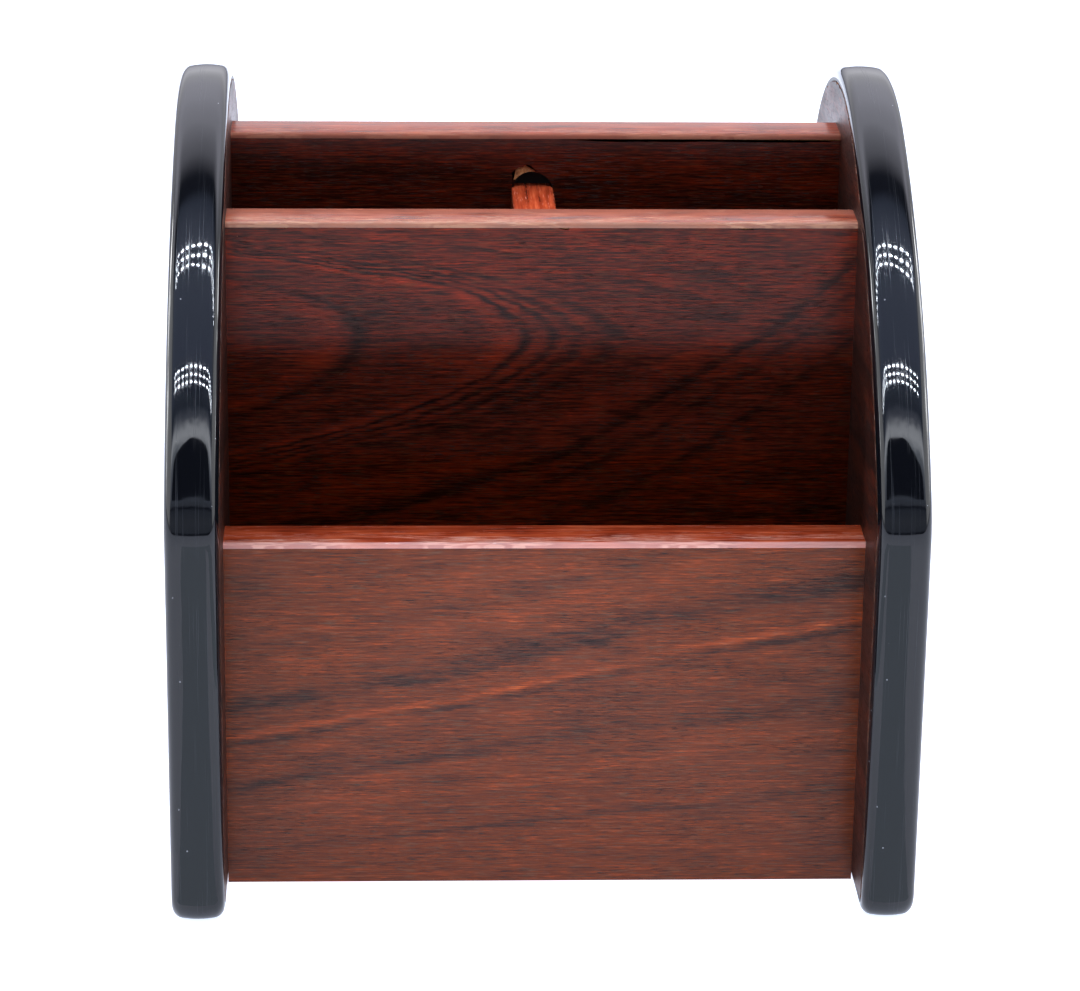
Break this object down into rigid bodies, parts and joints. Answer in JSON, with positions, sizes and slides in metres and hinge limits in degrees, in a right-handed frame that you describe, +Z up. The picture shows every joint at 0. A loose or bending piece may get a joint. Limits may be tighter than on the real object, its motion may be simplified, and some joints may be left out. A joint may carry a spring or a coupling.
{
  "type": "desk organizer",
  "caption": "Free-standing desk organizer: rounded side panels with a gloss edge moulding hold upright panels of rising height, with a wide front pocket and a divided rear pocket.",
  "frame": {"origin": "On the table, under the middle of the object's bounding box.", "axes": "+X to the right seen from the front, +Y from the front to the rear, +Z up."},
  "size_m": [0.15, 0.151, 0.1538],
  "materials": {
    "wood_laminate": "satin dark red-brown wood-grain laminate",
    "edge_moulding": "gloss black",
    "edge_band": "semi-gloss orange-brown",
    "board_core": "raw fibreboard",
    "dowel": "raw beech"
  },
  "bodies": {
    "root": {"left_side_core": "board_core", "left_side_inner_laminate": "wood_laminate", "left_side_outer_laminate": "wood_laminate", "left_edge_moulding": "edge_moulding", "right_side_core": "board_core", "right_side_inner_laminate": "wood_laminate", "right_side_outer_laminate": "wood_laminate", "right_edge_moulding": "edge_moulding", "front_panel_core": "board_core", "front_panel_front_laminate": "wood_laminate", "front_panel_back_laminate": "wood_laminate", "front_panel_edge_band": "edge_band", "middle_panel_core": "board_core", "middle_panel_front_laminate": "wood_laminate", "middle_panel_back_laminate": "wood_laminate", "middle_panel_edge_band": "edge_band", "rear_panel_core": "board_core", "rear_panel_front_laminate": "wood_laminate", "rear_panel_back_laminate": "wood_laminate", "rear_panel_edge_band": "edge_band", "divider_core": "board_core", "divider_left_laminate": "wood_laminate", "divider_right_laminate": "wood_laminate", "divider_edge_band": "edge_band", "floor_core": "board_core", "floor_top_laminate": "wood_laminate", "floor_bottom_laminate": "wood_laminate", "joint_dowels": "dowel"}
  },
  "joints": []
}
